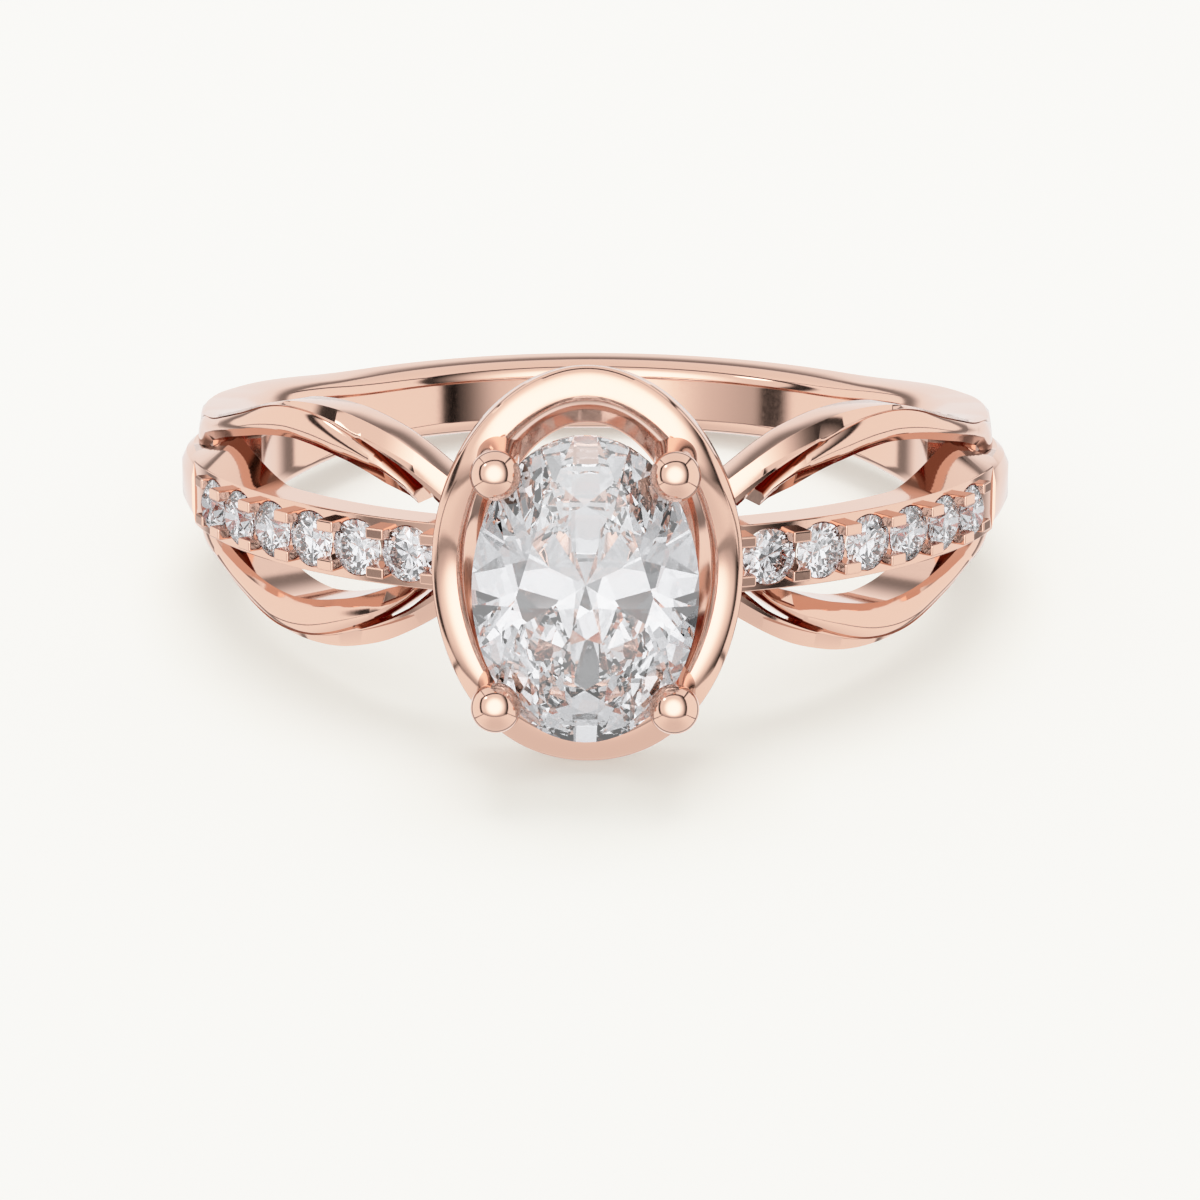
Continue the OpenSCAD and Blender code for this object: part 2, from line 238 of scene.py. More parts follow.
def finish(shape, name, material, node, edge=0.0, sharp=25):
    """Turn a bmesh in ring axes into a piece that stands for a CAD node."""
    bmesh.ops.remove_doubles(shape, verts=shape.verts, dist=SAME_PLACE)
    bmesh.ops.recalc_face_normals(shape, faces=shape.faces)
    bmesh.ops.transform(shape, matrix=LAY_DOWN, verts=shape.verts)
    mesh = bpy.data.meshes.new(name)
    shape.to_mesh(mesh)
    shape.free()
    piece = bpy.data.objects.new(name, mesh)
    bpy.context.scene.collection.objects.link(piece)
    mesh.materials.append(material)
    mesh.polygons.foreach_set("use_smooth", [True] * len(mesh.polygons))
    mesh.set_sharp_from_angle(angle=math.radians(sharp))
    if edge:
        bevel = piece.modifiers.new("soft edges", "BEVEL")
        bevel.width = edge * METRES
        bevel.segments = 2
        bevel.limit_method = "ANGLE"
        bevel.angle_limit = math.radians(sharp)
        bevel.harden_normals = True
    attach(piece, "root")
    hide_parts(node)
    print(name, len(mesh.polygons), "faces")


print("doubles closer than", SAME_PLACE, "mm are merged")

# %% Rings of points
def pull(shape, ring, stations):
    """Pull a closed ring of vertices through stations; each station is the ring's next places."""
    count = len(ring)
    for places in stations:
        edges = [shape.edges.get((ring[k], ring[(k + 1) % count])) for k in range(count)]
        made = bmesh.ops.extrude_edge_only(shape, edges=edges)["geom"]
        fresh = {v for v in made if isinstance(v, bmesh.types.BMVert)}
        ring = [next(e.other_vert(v) for e in v.link_edges if e.other_vert(v) in fresh) for v in ring]
        for vert, place in zip(ring, places):
            vert.co = place
    return ring


def first_ring(shape, places):
    """A closed ring of vertices and edges to start from."""
    ring = [shape.verts.new(p) for p in places]
    for k, vert in enumerate(ring):
        shape.edges.new((vert, ring[(k + 1) % len(ring)]))
    return ring


def close_ring(shape, ring):
    """Cap a ring with one face."""
    edges = [shape.edges.get((ring[k], ring[(k + 1) % len(ring)])) for k in range(len(ring))]
    bmesh.ops.contextual_create(shape, geom=edges)


print("a ring of points can be started, pulled and closed")

# %% [markdown]
# ## Shank and strands
#
# On the real ring the shank splits at each side into two strands. The upper and lower strands part, run
# around the stone row, and near the head each one splits once more, so that a long strand dives beside the
# row while the crossing strand goes over to the head. A jeweller would saw and file this from one casting.
# Here it is one closed shell: a cross section with its bevels is pulled from the split towards the head,
# divided where the metal divides, and then the same edges are pulled the other way around the back. Only
# one half is shaped, and a mirror makes the other.
#
# A section is a list of corners, each a radius and a height over the band's middle. A strand's face isn't
# flat but a low dome, because filing and polishing take more from its edges than from its middle. The
# inside of the bore is rounded off at both edges, which lets a ring slide over the knuckle.

# %% Measures of the strands
SPLIT_ANGLE = 34.0
JOIN_ANGLE = 76.0
DOME = 0.14
OUTER_BEVEL = 0.10
INNER_BEVEL = 0.13
COMFORT_CURVE = ((9.09, 0), (8.83, 0.10), (8.70, 0.22), (BORE, 0.36))
COMFORT_DEPTH = COMFORT_CURVE[-1][1]


def outer_radius(angle):
    """Radius of the outside, which sinks a little from the strands to the plain shank."""
    return STRAND - (STRAND - SHANK) * clamp((angle - 92) / 30)


def inner_height(angle):
    """Height of a strand's edge along the opening, with the bevel's share taken off near the head."""
    bevel_share = 0.11 * clamp((47 - angle) / 9)
    return curve_through(INNER_EDGE, angle) - bevel_share


def chamfer(angle):
    """Width of the bevel along the inner edge, which opens towards the head."""
    return min(INNER_BEVEL + 0.20 * max(0, (38 - angle) / 11.5) ** 1.5, 0.34)


print("face bulges by", DOME, "mm over", round(curve_through(OUTER_EDGE, 42) - inner_height(42), 2), "mm")

# %% Sections of the strands
def domed(r, low, high):
    """Five corners over a face that is highest along its middle and falls off towards both edges."""
    shares = (0, 0.15, 0.5, 0.85, 1)
    return [(r - DOME * abs(2 * share - 1) ** 3, low + share * (high - low)) for share in shares]


def inner_side(r, low, cut):
    """The strand's side towards the row, with a bevel whose far edge starts the face."""
    under = low - 0.5 * (cut - INNER_BEVEL)
    return [(BORE, under), (r - INNER_BEVEL - DOME, under)]


def outer_side(r, high, rise=0.0):
    """The strand's side away from the row, down to the rounded edge of the bore."""
    return [(r - OUTER_BEVEL - DOME, high)] + [(q + rise, high - depth) for q, depth in COMFORT_CURVE]


def strand_section(angle):
    """Corners of a whole strand, from its inner foot round."""
    r = outer_radius(angle)
    low = inner_height(angle)
    ridge = curve_through(RIDGE, angle)
    high = max(curve_through(OUTER_EDGE, angle), ridge + 0.05)
    cut = min(chamfer(angle), 0.45 * (ridge - low))
    crossing = min(curve_through(LONG_EDGE, min(angle, 47)), ridge - 0.015)
    beyond = [(r - 0.7 * DOME, crossing + share * (ridge - crossing)) for share in (0.33, 0.67)]
    return (inner_side(r, low, cut) + domed(r, low + cut, crossing) + beyond + [(r - DOME, ridge)]
            + outer_side(r, high) + [(BORE, min(crossing, high - COMFORT_DEPTH - 0.1))])


def placed(section, angle, side):
    """A section's corners in space, above (side 1) or below (side -1) the row."""
    return [around(angle, q, middle(angle) + side * h) for q, h in section]


def strand_points(angle, side):
    """The whole strand, where it isn't divided yet."""
    return placed(strand_section(angle), angle, side)


def long_points(angle, side):
    """The long strand, the inner one near the head."""
    low = inner_height(angle)
    high = max(curve_through(LONG_EDGE, angle), low + 0.12)
    cut = min(chamfer(angle), 0.45 * (high - low))
    section = inner_side(STRAND, low, cut) + domed(STRAND, low + cut, high) + [(BORE, high)]
    return placed(section, angle, side)


def crossing_points(angle, side):
    """The crossing strand, the outer one near the head, which climbs at its end on to the halo."""
    climb = max(0, (18.5 - angle) / 3.5) ** 2
    r, rise = STRAND + 0.55 * climb, 1.1 * climb
    low = curve_through(CROSS_EDGE, angle)
    ridge = curve_through(RIDGE, angle)
    high = curve_through(OUTER_EDGE, angle)
    sunk_by = DOME * (0.7 - 0.65 * min(1, (SPLIT_ANGLE - angle) / 8))
    bulge = [(r - sunk_by, low + share * (ridge - low)) for share in (0.33, 0.67)]
    section = ([(r - DOME, low)] + bulge + [(r - DOME, ridge)] + outer_side(r, high, rise)
               + [(BORE + rise, low)])
    return placed(section, angle, side)


print("corners of a whole strand:", len(strand_section(SPLIT_ANGLE)))

# %% Pull the strands
# Numbers of the two corners where a whole strand divides: on its face and in the bore
CROSSING = 6
FOOT = 15
shell = bmesh.new()
ends = {}
for side in (1, -1):
    start = first_ring(shell, strand_points(SPLIT_ANGLE, side))
    ends[side] = pull(shell, start, [strand_points(a, side) for a in even_steps(35, JOIN_ANGLE, 60)])
    shell.edges.new((start[CROSSING], start[FOOT]))
    long_ring = start[:CROSSING + 1] + [start[FOOT]]
    cross_ring = start[CROSSING:]
    tip = pull(shell, long_ring, [long_points(a, side) for a in even_steps(33.3, 24.3, 14)])
    close_ring(shell, tip)
    foot = pull(shell, cross_ring, [crossing_points(a, side) for a in even_steps(33.2, 15, 26)])
    close_ring(shell, foot)
print("strands divide at", SPLIT_ANGLE, "degrees and join at", JOIN_ANGLE)

# %% [markdown]
# ## Back of the shank
#
# At the sides the two strands grow together into the plain band. Their four inner corners are joined by
# one face, the two rings of corners become one, and this one is pulled on around the back. Each corner has
# its place in the strands and its place in the plain band, and it glides from one to the other within 14
# degrees, so that the grooves between the strands run out softly as they would under a polishing wheel.

# %% Pull the band and mirror it
BLEND = 14
CLOSED_ANGLE = INNER_EDGE[-1][0]
FACE_SHARES = (1, 0.94, 0.87, 0.80, 0.68, 0.52, 0.36, 0.20, 0.08)

up, down = ends[1], ends[-1]
shell.edges.new((up[0], down[0]))
shell.edges.new((up[1], down[1]))
close_ring(shell, [up[0], up[1], down[1], down[0]])
whole = up[:0:-1] + down[1:] + [down[0], up[0]]


def plain_section(angle):
    """Upper half of the plain band's corners, in the order of a strand's corners taken backwards."""
    r, wide = outer_radius(angle), curve_through(OUTER_EDGE, angle)
    facet = min(0.13, 0.05 + 0.10 * max(0, (angle - JOIN_ANGLE) / 25))
    dome = DOME - 0.08 * min(1, (angle - JOIN_ANGLE) / 30)
    comfort = [(q, wide - depth) for q, depth in COMFORT_CURVE[::-1]]
    face = [(r - dome * share ** 3, share * (wide - facet)) for share in FACE_SHARES]
    return ([(BORE, 0.72 * wide - COMFORT_DEPTH * 0.5)] + comfort + [(r - OUTER_BEVEL - dome, wide)] + face
            + [(BORE, 0.12 * wide)])


def band_points(angle):
    """The whole band, on its way from the two strands' corners to the plain ones."""
    way = min(1, (angle - JOIN_ANGLE) / BLEND)
    way = way * way * (3 - 2 * way)
    corners = zip(strand_section(min(angle, CLOSED_ANGLE))[::-1], plain_section(angle))
    half = [((1 - way) * q + way * plain_q, (1 - way) * h + way * plain_h)
            for (q, h), (plain_q, plain_h) in corners]
    upper, lower = placed(half, angle, 1), placed(half, angle, -1)
    return upper[:-1] + lower[-2::-1] + [lower[-1], upper[-1]]


pull(shell, whole, [band_points(a) for a in even_steps(77, 119, 30) + even_steps(122, 180, 29)])
bmesh.ops.mirror(shell, geom=shell.verts[:] + shell.edges[:] + shell.faces[:], axis="X",
                 merge_dist=0.001)
finish(shell, "shank_and_strands", rose_gold, "mounting", edge=0.03, sharp=40)

# %% [markdown]
# ## Stone row
#
# Between the strands of each shoulder lies a bar with a row of small stones. It is open at both sides, so
# that light reaches the stones, and only its far end grows out of the band. There its foot spreads into a
# thin web that meets both strands, which closes the opening with a smooth round end. The bar is pulled
# along its arc like the strands, from one section of twelve corners.

# %% Row bar
ROW_HALF = 0.82
ROW_UNDER = 9.53
ROW_FACE = 10.50
HEAD_END = 17
CHANNEL_END = 72.05


def sunk(angle):
    """How far the bar's end has dived into the band, as a share that starts at 83 degrees."""
    return max(0, (angle - 83) / 19) ** 1.6


def web(angle, side):
    """How far the bar's foot spreads towards the strand above (side 1) or below (side -1)."""
    return clamp((angle - 50) / 17) ** 1.5 * max(0, inner_height(angle) + side * middle(angle) - ROW_HALF)


def row_points(angle):
    """Section of the row bar: a flat channel first, then a smooth rounded end."""
    if angle <= HEAD_END:
        under, side, top, shoulder, flat = 9.95, 10.85, 10.90, 0.80, 0.76
    elif angle <= CHANNEL_END:
        under, side, top, shoulder, flat = ROW_UNDER, ROW_FACE - 0.03, ROW_FACE, 0.81, 0.79
    else:
        under, top = ROW_UNDER - 0.3 * sunk(angle), 10.57 - 0.49 * sunk(angle)
        side, shoulder, flat = top - 0.30, 0.66, 0.40
    bend = side + 0.62 * (top - side)
    halves = []
    for way in (-1, 1):
        foot = ROW_HALF + web(angle, way)
        half = ((under, foot - 0.02), (under + 0.02, foot), (side, ROW_HALF), (bend, shoulder), (top, flat))
        halves.append([around(angle, q, way * h) for q, h in half])
    return halves[0] + [around(angle, top, 0)] + halves[1][::-1] + [around(angle, under, 0)]


bar = bmesh.new()
base = first_ring(bar, row_points(15.5))
close_ring(bar, base)
tip = pull(bar, base, [row_points(a) for a in even_steps(19.5, 72, 42) + [72.1] + even_steps(73, 102, 24)])
close_ring(bar, tip)
bmesh.ops.recalc_face_normals(bar, faces=bar.faces)
print("bar before drilling:", round(bar.calc_volume(), 1), "cubic mm")

# %% [markdown]
# ## Seats of the small stones
#
# A stone setter drills a seat for each stone with a burr, a cylinder with a cone below it. The same tool is
# made here once for each stone and the bar is cut with all of them in one Boolean. A matrix stands each
# burr on its place in the row. It mirrors what it places, so the burrs get their faces turned outwards
# again: a Boolean takes a shape that is inside out for a hole, and then cuts nothing.

# %% Burrs for the seats
FIRST_STONE = 24.21
STONE_STEP = 7.741
SIDE_GIRDLE = 10.50
SIDE_RADIUS = 0.675
SEAT_RADIUS = 0.705
SEAT_DEPTH = 0.07
BURR_LENGTH = 1.0
CONE_LENGTH = 1.24
CONE_MIDDLE = 0.66
CONE_RADII = (0.28, 0.70)


def stand_at(angle):
    """Matrix that stands a piece made along +Z at an angle from the head, pointing outwards."""
    turn = math.radians(angle)
    side = Vector((math.cos(turn), math.sin(turn), 0))
    out = Vector((math.sin(turn), -math.cos(turn), 0))
    return Matrix((side, Vector((0, 0, -1)), out)).transposed().to_4x4()


stone_angles = [FIRST_STONE + STONE_STEP * k for k in range(6)]
burr = bmesh.new()
for angle in stone_angles:
    place = stand_at(angle)
    seat = place @ Matrix.Translation((0, 0, SIDE_GIRDLE - SEAT_DEPTH + BURR_LENGTH / 2))
    cone = place @ Matrix.Translation((0, 0, SIDE_GIRDLE - CONE_MIDDLE))
    bmesh.ops.create_cone(burr, cap_ends=True, segments=48, radius1=SEAT_RADIUS, radius2=SEAT_RADIUS,
                          depth=BURR_LENGTH, matrix=seat)
    bmesh.ops.create_cone(burr, cap_ends=True, segments=48, radius1=CONE_RADII[0], radius2=CONE_RADII[1],
                          depth=CONE_LENGTH, matrix=cone)
bmesh.ops.recalc_face_normals(burr, faces=burr.faces)
print("seats per row:", len(stone_angles))

# %% Drill the seats
def cut_with(shape, cutter):
    """Cut one bmesh with another through an applied Boolean modifier."""
    pair = []
    for name, source in (("blank", shape), ("burr", cutter)):
        mesh = bpy.data.meshes.new(name)
        source.to_mesh(mesh)
        source.free()
        pair.append(bpy.data.objects.new(name, mesh))
        bpy.context.scene.collection.objects.link(pair[-1])
    blank, tool = pair
    cut = blank.modifiers.new("cut", "BOOLEAN")
    cut.object, cut.operation, cut.solver, cut.use_self = tool, "DIFFERENCE", "EXACT", True
    bpy.context.view_layer.update()
    result = bmesh.new()
    result.from_object(blank, bpy.context.evaluated_depsgraph_get())
    for thing in pair:
        bpy.data.objects.remove(thing)
    return result


solid = bar.calc_volume()
bar = cut_with(bar, burr)
print("metal drilled away from one row:", round(solid - bar.calc_volume(), 2), "cubic mm")
bmesh.ops.mirror(bar, geom=bar.verts[:] + bar.edges[:] + bar.faces[:], axis="X", merge_dist=0.0)
finish(bar, "stone_rows", rose_gold, "mounting", edge=0.02)

# %% [markdown]
# ## Shared beads
#
# Between two stones the setter leaves a pair of small blocks and pushes their corners over both stones.
# They were cut square with a saw and a graver, so each is a little block with bevelled edges. A loop sets
# one pair before each stone and a lower pair behind the last one.

# %% Beads
BEAD = (0.50, 0.28, 0.55)
BEAD_OFF_MIDDLE = 0.48
pairs = [(FIRST_STONE + STONE_STEP * (k - 0.5), 10.86) for k in range(6)] + [(66.7, 10.68)]
beads = bmesh.new()
for angle, top in pairs:
    for mirror_side in (1, -1):
        for height in (-BEAD_OFF_MIDDLE, BEAD_OFF_MIDDLE):
            block = bmesh.ops.create_cube(beads, size=1)["verts"]
            bmesh.ops.scale(beads, vec=BEAD, verts=block)
            place = stand_at(mirror_side * angle) @ Matrix.Translation((0, -height, top - BEAD[2] / 2))
            bmesh.ops.transform(beads, verts=block, matrix=place)
finish(beads, "shared_beads", rose_gold, "mounting", edge=0.05)

# %% [markdown]
# ## Halo and basket
#
# The head's rim is an oval tray that slopes in like a funnel towards the stone. An oval isn't a scaled
# circle here, because the metal is equally thick all round, so the profile is spun once as a circle and
# every point is then moved by the difference of the two half widths. The basket rail below is made in the
# same way.

# %% Oval spin
def oval_spin(profile, steps, lift=None):
    """Spin a closed profile of insets and heights over the ring's middle into an oval round the head."""
    ring = bmesh.new()
    start = first_ring(ring, [Vector((HALO_X - inset, -level, 0)) for inset, level in profile])
    bmesh.ops.spin(ring, geom=start + ring.edges[:], cent=(0, 0, 0), axis=(0, 1, 0), angle=math.tau,
                   steps=steps, use_merge=True, use_duplicate=False)
    for vert in ring.verts:
        inset = HALO_X - math.hypot(vert.co.x, vert.co.z)
        if lift:
            vert.co.y -= lift(math.atan2(vert.co.z, vert.co.x), inset, -vert.co.y)
        vert.co.z *= (HALO_Z - inset) / (HALO_X - inset)
    return ring


print("the oval is", round(HALO_Z - HALO_X, 2), "mm longer than wide at each end")

# %% Halo rim and basket rail
HALO_PROFILE = [(0.04, 10.30), (0, HALO_EDGE_LEVEL), (0, 10.68), (0.03, 10.73), (0.125, 10.79),
                (0.20, 10.82), (0.30, 10.85), (0.40, 10.871), (0.52, 10.88), (0.60, 10.874),
                (0.68, 10.856), (0.75, 10.825), (0.80, 10.74), (1.06, 10.36), (1.10, 10.28),
                (1.11, 10.05), (0.40, 10.05)]
RAIL_PROFILE = [(1.06, 9.62), (0.98, 9.72), (0.98, 10.20), (1.40, 10.20), (1.46, 10.14), (1.46, 9.72),
                (1.40, 9.62)]


def crown_wave(turn, inset, level):
    """Lift of the rim's top, which rises to the four prongs and dips between them."""
    rise = 0.23 * (1 - math.cos(4 * turn)) + 0.22 * (inset - 0.45) * math.sin(turn) ** 2
    return clamp((level - 10.45) / 0.25) * rise


halo = oval_spin(HALO_PROFILE, 240, crown_wave)
finish(halo, "halo_rim", rose_gold, "mounting", edge=0.025)
rail = oval_spin(RAIL_PROFILE, 128)
finish(rail, "basket_rail", rose_gold, "mounting", edge=0.02)

# %% [markdown]
# ## Prongs
#
# Four round wires rise from the basket rail past the girdle. Their ends were melted into balls, because a
# wire's end draws itself round in the flame, and the balls lean over the stone and hold it. A cylinder and
# a sphere with many segments are all that it takes.

# %% Prongs
PRONG_X = 2.074
PRONG_FOOT = 9.67
WIRE_RADIUS = 0.50
BALL_RADIUS = 0.59
prongs = bmesh.new()
for x in (-PRONG_X, PRONG_X):
    for z in (-PRONG_Z, PRONG_Z):
        wire_place = Matrix.Translation((x, -(TIP_LEVEL + PRONG_FOOT) / 2, z)) @ TOWARDS_HEAD
        bmesh.ops.create_cone(prongs, cap_ends=True, segments=48, radius1=WIRE_RADIUS,
                              radius2=WIRE_RADIUS, depth=TIP_LEVEL - PRONG_FOOT, matrix=wire_place)
        bmesh.ops.create_uvsphere(prongs, u_segments=64, v_segments=40, radius=BALL_RADIUS,
                                  matrix=Matrix.Translation((x, -TIP_LEVEL, z)) @ TOWARDS_HEAD)
finish(prongs, "prongs", rose_gold, "mounting")

# %% [markdown]
# ## Cutting a brilliant
#
# A brilliant is cut from a block facet by facet, each one ground flat against a wheel. The same happens
# here: a block is cut plane by plane, and every plane leaves one flat face. Eight main facets, eight star
# facets round the table and sixteen girdle facets make the crown, and twenty-four more the point below.
# The star facets lie flatter than the main ones and the girdle facets steeper. All sizes are shares of the
# stone's radius, so that one cut serves for every stone.

# %% Brilliant cut
FOLD = 8


def grind(stone, point, normal):
    """Cut everything beyond a plane away and close the cut with one flat facet."""
    cut = bmesh.ops.bisect_plane(stone, geom=stone.verts[:] + stone.edges[:] + stone.faces[:], dist=1e-6,
                                 plane_co=point, plane_no=normal, clear_outer=True)
    rim = [e for e in cut["geom_cut"] if isinstance(e, bmesh.types.BMEdge)]
    if rim:
        bmesh.ops.edgenet_fill(stone, edges=rim)


def facets(stone, count, start, at_height, at_radius, slope, sign):
    """Grind a round of facets, on the crown (sign 1) or the pavilion (sign -1)."""
    for k in range(count):
        turn = math.tau * k / count + start
        point = Vector((at_radius * math.cos(turn), at_radius * math.sin(turn), sign * at_height))
        grind(stone, point, Vector((math.cos(turn) * slope, math.sin(turn) * slope, sign)))


def brilliant(girdle_sides, table, crown, pavilion, girdle):
    """Round brilliant of unit radius with its table towards +Z, from the sizes of its four parts."""
    stone = bmesh.new()
    bmesh.ops.create_cone(stone, cap_ends=True, segments=girdle_sides, radius1=1.0, radius2=1.0, depth=4.0)
    half = girdle / 2
    main = crown / (1 - table)
    part = math.tau / FOLD
    grind(stone, Vector((0, 0, half + crown)), Vector((0, 0, 1)))
    facets(stone, FOLD, 0, half, 1.0, main, 1)
    facets(stone, FOLD, part / 2, half + crown, table * math.cos(part / 2), main * 0.60, 1)
    facets(stone, 2 * FOLD, part / 4, half, 1.0, main * 1.16, 1)
    facets(stone, FOLD, 0, half, 1.0, pavilion, -1)
    facets(stone, 2 * FOLD, part / 4, half, 1.0, pavilion * 1.03, -1)
    return stone


print("facets of a brilliant:", 1 + 7 * FOLD)

# %% [markdown]
# ## Diamond
#
# The stones are diamond, polished so flat that a facet has no texture of its own. Diamond bends light more
# than any glass, with an index of 2.42, so most light that enters through the table is thrown back by the
# facets below. A base colour a little under white stands for the light that a real stone loses at its
# edges and in its setting. Without it the facets would come out almost equally white.

# %% Clear stone
def clear_stone():
    """Cut and polished diamond."""
    stuff, tree = new_material("clear_stone")
    shade = add(tree, "ShaderNodeBsdfPrincipled",
                {"Base Color": linear("#D4D5D8"), "Roughness": 0.0, "IOR": 2.42,
                 "Transmission Weight": 1.0})
    add(tree, "ShaderNodeOutputMaterial", None, {"Surface": shade.outputs["BSDF"]})
    return stuff


diamond = clear_stone()
print("stone ready:", diamond.name)

# %% [markdown]
# ## Stones in their places
#
# The oval stone is the round cut stretched along the finger, which is close to how an oval brilliant's
# facets lie. It looks out of the head along -Y, so it is turned that way before it is moved up between the
# prongs. The twelve small stones are one cut, stood in the seats that the burrs have drilled.

# %% Set the stones
OVAL_HALF_X = 2.64
OVAL_HALF_Z = 3.66
OVAL_GIRDLE = 12.95
oval = brilliant(64, 0.60, 0.75 / OVAL_HALF_X, 2.20 / OVAL_HALF_X, 0.10 / OVAL_HALF_X)
stretch = Matrix.Diagonal((OVAL_HALF_X, OVAL_HALF_Z, OVAL_HALF_X, 1))
bmesh.ops.transform(oval, verts=oval.verts,
                    matrix=Matrix.Translation((0, -OVAL_GIRDLE, 0)) @ TOWARDS_HEAD @ stretch)
finish(oval, "oval_brilliant", diamond, "center_stone", sharp=1)

for letter, way in (("l", -1), ("r", 1)):
    for k, angle in enumerate(stone_angles):
        small = brilliant(32, 0.56, 0.20 / SIDE_RADIUS, 0.58 / SIDE_RADIUS, 0.03 / SIDE_RADIUS)
        seat = stand_at(way * angle) @ Matrix.Translation((0, 0, SIDE_GIRDLE))
        bmesh.ops.transform(small, verts=small.verts, matrix=seat @ Matrix.Scale(SIDE_RADIUS, 4))
        finish(small, f"side_brilliant_{letter}{k + 1}", diamond, f"side_stone_{letter}{k + 1}",
               sharp=1)

# %% [markdown]
# ## Camera
#
# The camera looks down at the head from a long way off through a long lens, as a product photographer
# would, so that the ring shows almost no perspective. Its place is worked out in the ring's own axes and
# then laid down with the ring.

# %% Camera
TURN, DOWN, ROLL = math.radians(0.948), math.radians(14.255), math.radians(0.167)
AIM = Vector((0.125, 0, -3.531))
DISTANCE = 130
FOCAL_PIXELS = 5032.3
PICTURE_PIXELS = 1200
SENSOR = 36

look = Vector((-math.sin(TURN) * math.cos(DOWN), math.cos(TURN) * math.cos(DOWN), -math.sin(DOWN)))
level = Vector((math.cos(TURN), math.sin(TURN), 0))
rise = level.cross(look)
right = math.cos(ROLL) * level + math.sin(ROLL) * rise
up_way = -math.sin(ROLL) * level + math.cos(ROLL) * rise
stand = AIM - DISTANCE * look
pose = Matrix((right, up_way, -look)).transposed().to_4x4()
pose.translation = stand
pose = TO_REST @ pose
pose.translation *= METRES
lens = bpy.data.cameras.new("product camera")
lens.sensor_width = SENSOR
lens.lens = FOCAL_PIXELS / PICTURE_PIXELS * SENSOR
lens.clip_start, lens.clip_end = 0.01, 10
camera = bpy.data.objects.new("product camera", lens)
camera.matrix_world = pose
bpy.context.scene.collection.objects.link(camera)
bpy.context.scene.camera = camera
print("lens", round(lens.lens), "mm from", DISTANCE, "mm away")

# %% [markdown]
# ## Studio light
#
# The balls on the prongs show what stands around the ring in the studio: a light tent whose front is a
# large bright panel, dimmer panels at both sides, above and below, thin dark seams between them, and a
# dark ring with more light behind it. Polished metal is nothing but this picture, so the world is built
# from the same panels. Each panel is a smooth step of a few fixed directions, which are those of the
# photograph: across, upward and towards where the camera was. They don't move with the camera.

# %% Directions and sums for the tent
turn = pose.to_3x3().normalized()
across, upward, toward = [turn @ Vector(v) for v in ((1, 0, 0), (0, 1, 0), (0, 0, 1))]
world = bpy.data.worlds.new("light tent")
bpy.context.scene.world = world
world.use_nodes = True
tent = world.node_tree
tent.nodes.clear()
ray = add(tent, "ShaderNodeTexCoord")


def along(direction):
    """How far a ray points along a direction of the tent given as across, up and toward."""
    way = direction[0] * across + direction[1] * upward + direction[2] * toward
    return add(tent, "ShaderNodeVectorMath", {"operation": "DOT_PRODUCT", 1: way},
               {0: ray.outputs["Generated"]}).outputs["Value"]


def step(value, low, high, first=0.0, last=1.0):
    """Smooth change from first to last while the value goes from low to high."""
    settings = {"interpolation_type": "SMOOTHSTEP", "From Min": low, "From Max": high,
                "To Min": first, "To Max": last}
    return add(tent, "ShaderNodeMapRange", settings, {"Value": value}).outputs["Result"]


def feed(node, socket, value):
    """Set a number on a socket, or link what another node gives."""
    if isinstance(value, (int, float)):
        node.inputs[socket].default_value = value
    else:
        tent.links.new(value, node.inputs[socket])


def maths(operation, first, second):
    """One sum of two numbers or links."""
    made = add(tent, "ShaderNodeMath", {"operation": operation})
    feed(made, 0, first)
    feed(made, 1, second)
    return made.outputs["Value"]


def choose(share, first, second):
    """First where share is 0, second where it is 1."""
    made = add(tent, "ShaderNodeMix", {"data_type": "FLOAT"}, {"Factor": share})
    feed(made, "A", first)
    feed(made, "B", second)
    return made.outputs["Result"]


def least(values):
    """The smallest of several links."""
    made = values[0]
    for value in values[1:]:
        made = maths("MINIMUM", made, value)
    return made


print("photograph was taken from", [round(part, 2) for part in toward])

# %% Front panel
# Each edge of the panel is a plane that faces inwards. The side ones lie a little further in than the ring
LEFT_EDGE, RIGHT_EDGE = (0.339, 0.162, 0.926), (-0.5095, 0.076, 0.857)
TOP_EDGE, BOTTOM_EDGE = (0, -0.39, 0.92), (0, 0.792, 0.608)
BRIGHTEST_WAY = (-0.07, 0.105, 0.992)
x_way, y_way, z_way = along((1, 0, 0)), along((0, 1, 0)), along((0, 0, 1))
from_left = maths("ADD", along(LEFT_EDGE), -0.05)
from_right = maths("ADD", along(RIGHT_EDGE), -0.07)
from_top = along(TOP_EDGE)
from_bottom = along(BOTTOM_EDGE)
deep_left, deep_right = maths("DIVIDE", from_left, 0.17), maths("DIVIDE", from_right, 0.10)
deep_top, deep_bottom = maths("DIVIDE", from_top, 0.12), maths("DIVIDE", from_bottom, 0.07)
inside = least([deep_left, deep_right, deep_top, deep_bottom])
front = step(inside, -0.15, 0.25)
heart = step(along(BRIGHTEST_WAY), 0.66, 0.96, 0.95, 2.1)
centre = maths("MULTIPLY", heart, step(from_right, 0.0, 0.28, 0.10, 1.0))
panel = maths("MULTIPLY", centre, step(from_bottom, 0.0, 0.20, 0.55, 1.0))
print("front panel:", len(tent.nodes), "nodes")

